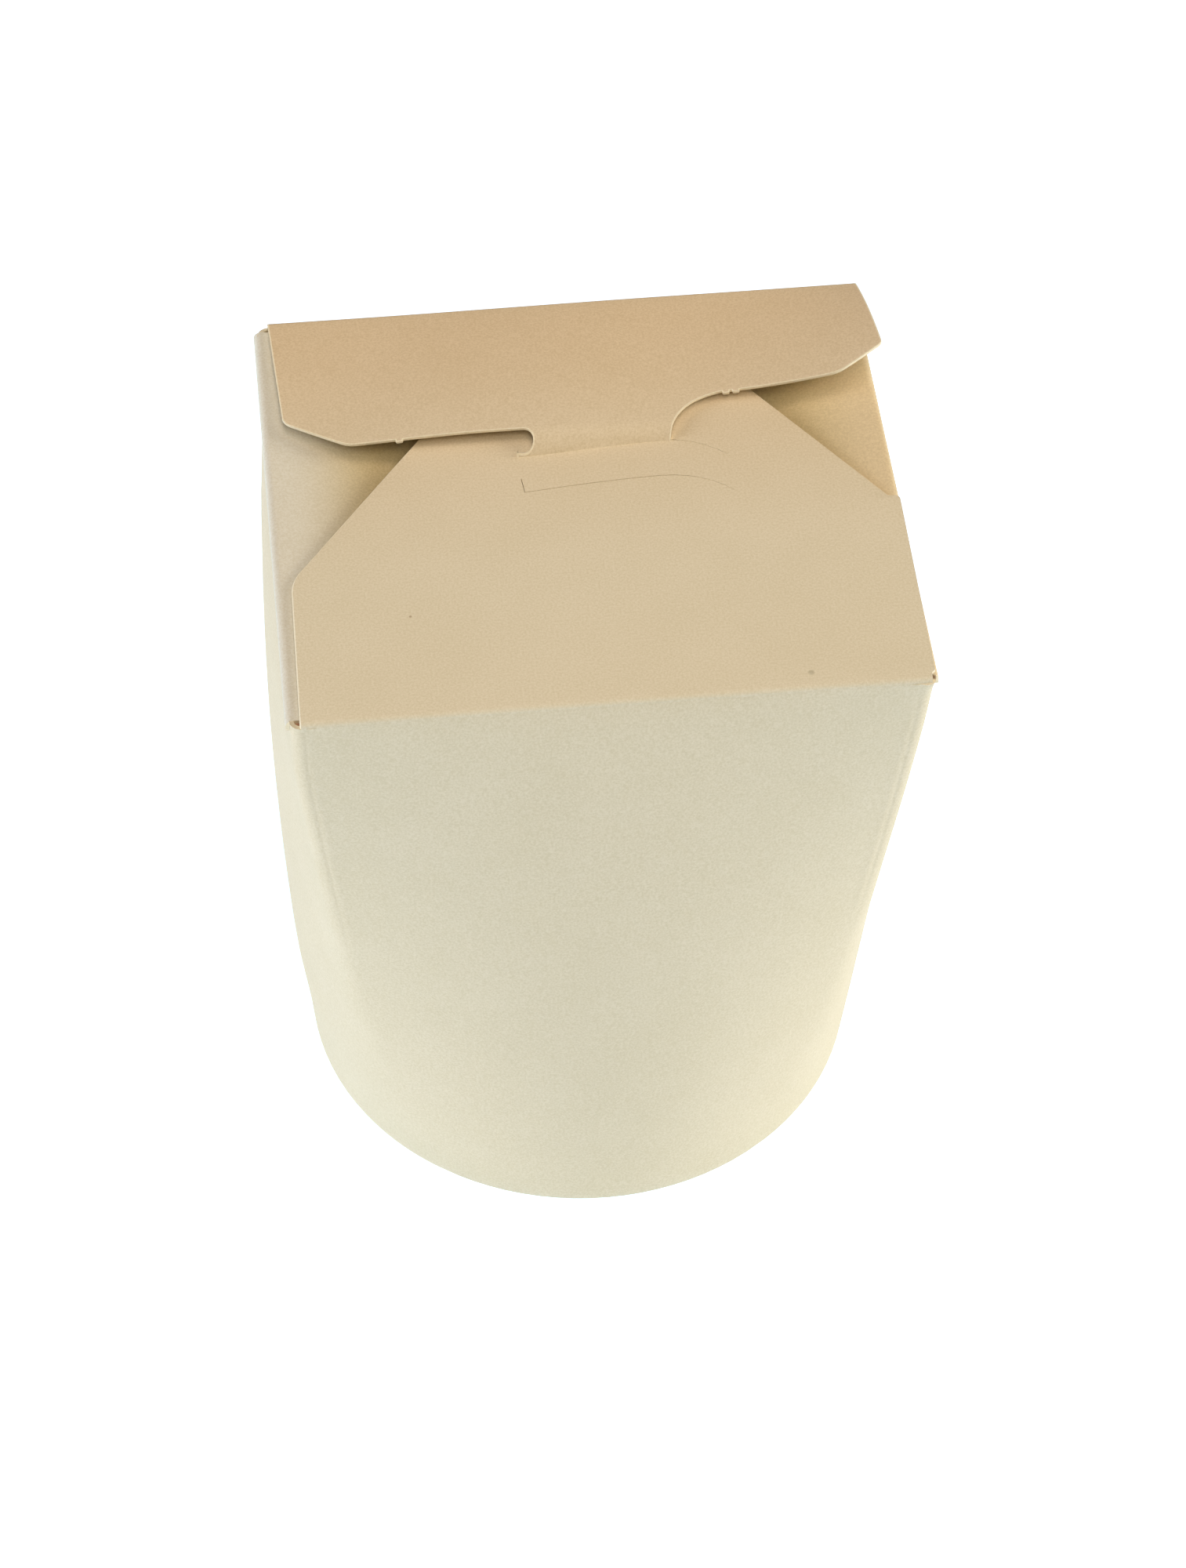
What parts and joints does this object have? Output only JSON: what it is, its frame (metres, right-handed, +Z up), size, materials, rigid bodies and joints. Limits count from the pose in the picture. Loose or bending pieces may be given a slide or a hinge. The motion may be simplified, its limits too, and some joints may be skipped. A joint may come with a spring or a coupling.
{
  "type": "noodle takeaway box",
  "caption": "Shut card takeaway box for noodles, square at the top and round at the base, with a lid flap that tucks into a slit.",
  "frame": {"origin": "middle of the base, on the plane that the bottom rim stands on", "axes": "+Z up through the lid; -Y towards the front wall, whose flap lies flat under the tongue; +X to the right of someone facing the front wall"},
  "size_m": [0.0956, 0.0914, 0.1201],
  "materials": {
    "board": "matt uncoated cream board"
  },
  "bodies": {
    "root": {"carton": "board"}
  },
  "joints": []
}
